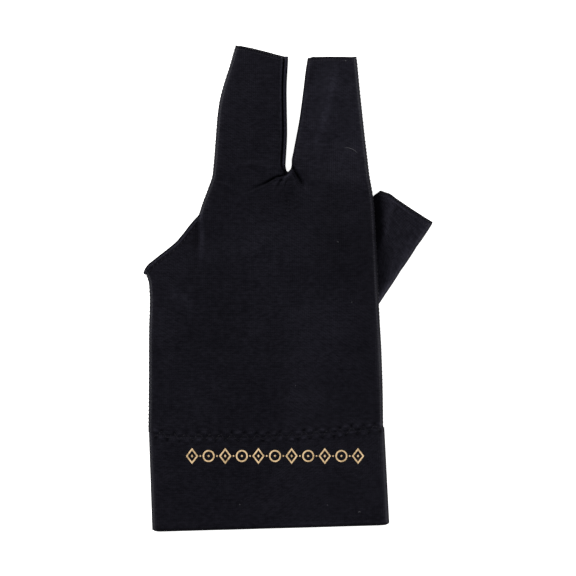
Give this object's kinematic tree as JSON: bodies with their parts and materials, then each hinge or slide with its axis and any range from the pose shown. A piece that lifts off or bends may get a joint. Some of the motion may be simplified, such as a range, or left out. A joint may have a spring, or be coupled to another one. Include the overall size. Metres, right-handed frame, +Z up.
{
  "type": "billiard glove",
  "caption": "Open-fingered left-hand billiard glove in stretch cloth, lying flat with its back up and its thumb out to the side.",
  "frame": {"origin": "middle of the bounding box on the surface that the glove lies on", "axes": "+Y towards the fingertips, +X towards the thumb, +Z up through the back of the hand"},
  "size_m": [0.1264, 0.2134, 0.0141],
  "materials": {
    "glove_cloth": "black stretch knit with a faint violet sheen",
    "thumb_cloth": "black stretch knit with a faint violet sheen",
    "cuff_cloth": "doubled black stretch knit",
    "seam_cloth": "folded black stretch knit with stitching",
    "stitch_thread": "black stretch sewing thread",
    "ornament_foil": "pale gold print on the cuff"
  },
  "bodies": {
    "root": {"back_panel": "glove_cloth", "palm_panel": "glove_cloth", "finger_fourchette": "seam_cloth", "thumb_tube": "thumb_cloth", "cuff_band": "cuff_cloth", "opening_hem": "seam_cloth"}
  },
  "joints": []
}
